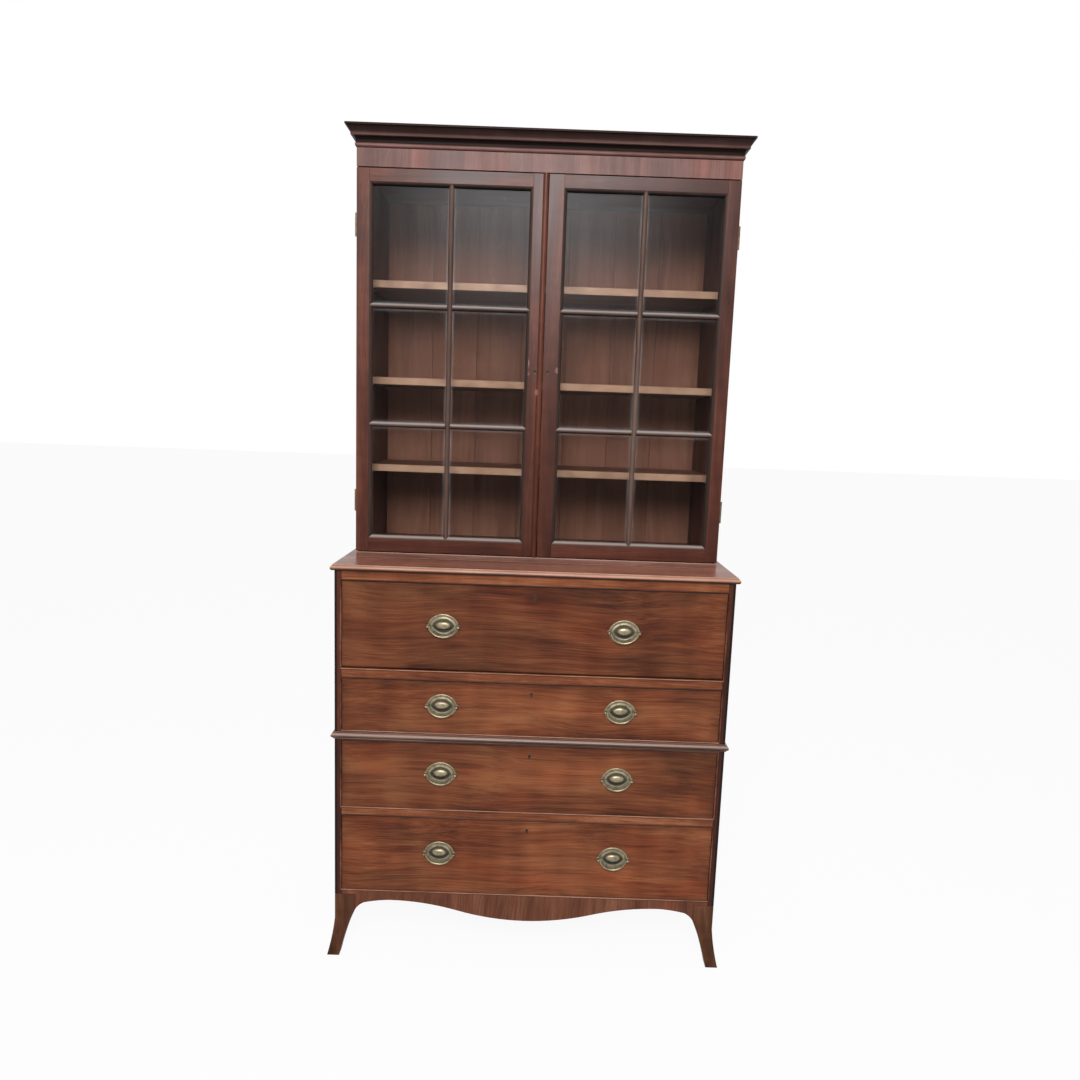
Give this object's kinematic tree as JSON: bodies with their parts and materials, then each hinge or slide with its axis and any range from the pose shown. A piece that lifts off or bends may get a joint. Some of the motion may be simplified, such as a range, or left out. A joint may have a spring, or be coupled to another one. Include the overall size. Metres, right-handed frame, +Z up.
{
  "type": "secretaire bookcase",
  "caption": "Tall mahogany secretaire bookcase: two glazed doors over shelves, above a chest whose top drawer opens as a fall-front writing desk, on splayed bracket feet.",
  "frame": {"origin": "on the floor under the middle of the whole piece", "axes": "+X to the right seen from the front, +Y to the back, +Z up; the doors and drawers face -Y"},
  "size_m": [1.106, 0.508, 2.2595],
  "materials": {
    "mahogany": "figured veneer, waxed",
    "drawer_lining": "plain sawn, unpolished",
    "brass": "aged, dull in the hollows",
    "glass": "clear, slightly uneven",
    "leather": "worn, low sheen"
  },
  "bodies": {
    "case": {"adjustable_shelves": "mahogany", "bookcase_back_boards": "drawer_lining", "bookcase_bottom_board": "mahogany", "bookcase_foot_moulding": "mahogany", "bookcase_sides": "mahogany", "bookcase_top_board": "mahogany", "cornice_dust_board": "drawer_lining", "cornice_moulding": "mahogany", "desk_top": "mahogany", "door_hinge_fixed_leaves": "brass", "feet": "mahogany", "frieze": "mahogany", "front_apron": "mahogany", "lower_chest_back": "drawer_lining", "lower_chest_beading": "mahogany", "lower_chest_boards": "mahogany", "lower_chest_sides": "mahogany", "shelf_pegs": "brass", "side_aprons": "mahogany", "upper_chest_back": "drawer_lining", "upper_chest_beading": "mahogany", "upper_chest_boards": "mahogany", "upper_chest_sides": "mahogany", "waist_moulding": "mahogany"},
    "left_door": {"left_door_frame": "mahogany", "left_door_glazing_bars": "mahogany", "left_door_glass": "glass", "left_door_brass": "brass"},
    "right_door": {"right_door_frame": "mahogany", "right_door_glazing_bars": "mahogany", "right_door_glass": "glass", "right_door_brass": "brass"},
    "secretaire_drawer": {"secretaire_tray": "mahogany", "pigeonhole_unit": "mahogany", "fall_pivot_arms": "brass"},
    "fall": {"fall_front": "mahogany", "writing_panel": "leather", "fall_brass": "brass"},
    "small_drawer_1_body": {"small_drawer_1": "mahogany"},
    "small_drawer_2_body": {"small_drawer_2": "mahogany"},
    "small_drawer_3_body": {"small_drawer_3": "mahogany"},
    "small_drawer_4_body": {"small_drawer_4": "mahogany"},
    "upper_drawer": {"upper_drawer_front": "mahogany", "upper_drawer_box": "drawer_lining", "upper_drawer_brass": "brass"},
    "middle_drawer": {"middle_drawer_front": "mahogany", "middle_drawer_box": "drawer_lining", "middle_drawer_brass": "brass"},
    "lower_drawer": {"lower_drawer_front": "mahogany", "lower_drawer_box": "drawer_lining", "lower_drawer_brass": "brass"},
    "fall_left_handle": {"fall_left_bail": "brass"},
    "fall_right_handle": {"fall_right_bail": "brass"},
    "upper_drawer_left_handle": {"upper_drawer_left_bail": "brass"},
    "upper_drawer_right_handle": {"upper_drawer_right_bail": "brass"},
    "middle_drawer_left_handle": {"middle_drawer_left_bail": "brass"},
    "middle_drawer_right_handle": {"middle_drawer_right_bail": "brass"},
    "lower_drawer_left_handle": {"lower_drawer_left_bail": "brass"},
    "lower_drawer_right_handle": {"lower_drawer_right_bail": "brass"}
  },
  "joints": [
    {"name": "left_door_hinge", "type": "hinge", "parent": "case", "child": "left_door", "pos_m": [-0.5098, -0.0945, 1.648], "axis": [0, 0, -1], "range_deg": [0, 170]},
    {"name": "right_door_hinge", "type": "hinge", "parent": "case", "child": "right_door", "pos_m": [0.5098, -0.0945, 1.648], "axis": [0, 0, 1], "range_deg": [0, 170]},
    {"name": "secretaire_slide", "type": "slide", "parent": "case", "child": "secretaire_drawer", "axis": [0, -1, 0], "range_m": [0, 0.3]},
    {"name": "fall_hinge", "type": "hinge", "parent": "secretaire_drawer", "child": "fall", "pos_m": [0, -0.226, 0.847], "axis": [1, 0, 0], "range_deg": [0, 90]},
    {"name": "small_drawer_1_slide", "type": "slide", "parent": "secretaire_drawer", "child": "small_drawer_1_body", "axis": [0, -1, 0], "range_m": [0, 0.12]},
    {"name": "small_drawer_2_slide", "type": "slide", "parent": "secretaire_drawer", "child": "small_drawer_2_body", "axis": [0, -1, 0], "range_m": [0, 0.12]},
    {"name": "small_drawer_3_slide", "type": "slide", "parent": "secretaire_drawer", "child": "small_drawer_3_body", "axis": [0, -1, 0], "range_m": [0, 0.12]},
    {"name": "small_drawer_4_slide", "type": "slide", "parent": "secretaire_drawer", "child": "small_drawer_4_body", "axis": [0, -1, 0], "range_m": [0, 0.12]},
    {"name": "upper_drawer_slide", "type": "slide", "parent": "case", "child": "upper_drawer", "axis": [0, -1, 0], "range_m": [0, 0.36]},
    {"name": "middle_drawer_slide", "type": "slide", "parent": "case", "child": "middle_drawer", "axis": [0, -1, 0], "range_m": [0, 0.36]},
    {"name": "lower_drawer_slide", "type": "slide", "parent": "case", "child": "lower_drawer", "axis": [0, -1, 0], "range_m": [0, 0.36]},
    {"name": "fall_left_bail_hinge", "type": "hinge", "parent": "fall", "child": "fall_left_handle", "pos_m": [-0.243, -0.246, 0.9615], "axis": [-1, 0, 0], "range_deg": [0, 80]},
    {"name": "fall_right_bail_hinge", "type": "hinge", "parent": "fall", "child": "fall_right_handle", "pos_m": [0.243, -0.246, 0.9615], "axis": [-1, 0, 0], "range_deg": [0, 80]},
    {"name": "upper_drawer_left_bail_hinge", "type": "hinge", "parent": "upper_drawer", "child": "upper_drawer_left_handle", "pos_m": [-0.243, -0.246, 0.7385], "axis": [-1, 0, 0], "range_deg": [0, 80]},
    {"name": "upper_drawer_right_bail_hinge", "type": "hinge", "parent": "upper_drawer", "child": "upper_drawer_right_handle", "pos_m": [0.243, -0.246, 0.7385], "axis": [-1, 0, 0], "range_deg": [0, 80]},
    {"name": "middle_drawer_left_bail_hinge", "type": "hinge", "parent": "middle_drawer", "child": "middle_drawer_left_handle", "pos_m": [-0.243, -0.246, 0.544], "axis": [-1, 0, 0], "range_deg": [0, 80]},
    {"name": "middle_drawer_right_bail_hinge", "type": "hinge", "parent": "middle_drawer", "child": "middle_drawer_right_handle", "pos_m": [0.243, -0.246, 0.544], "axis": [-1, 0, 0], "range_deg": [0, 80]},
    {"name": "lower_drawer_left_bail_hinge", "type": "hinge", "parent": "lower_drawer", "child": "lower_drawer_left_handle", "pos_m": [-0.243, -0.246, 0.3105], "axis": [-1, 0, 0], "range_deg": [0, 80]},
    {"name": "lower_drawer_right_bail_hinge", "type": "hinge", "parent": "lower_drawer", "child": "lower_drawer_right_handle", "pos_m": [0.243, -0.246, 0.3105], "axis": [-1, 0, 0], "range_deg": [0, 80]}
  ]
}
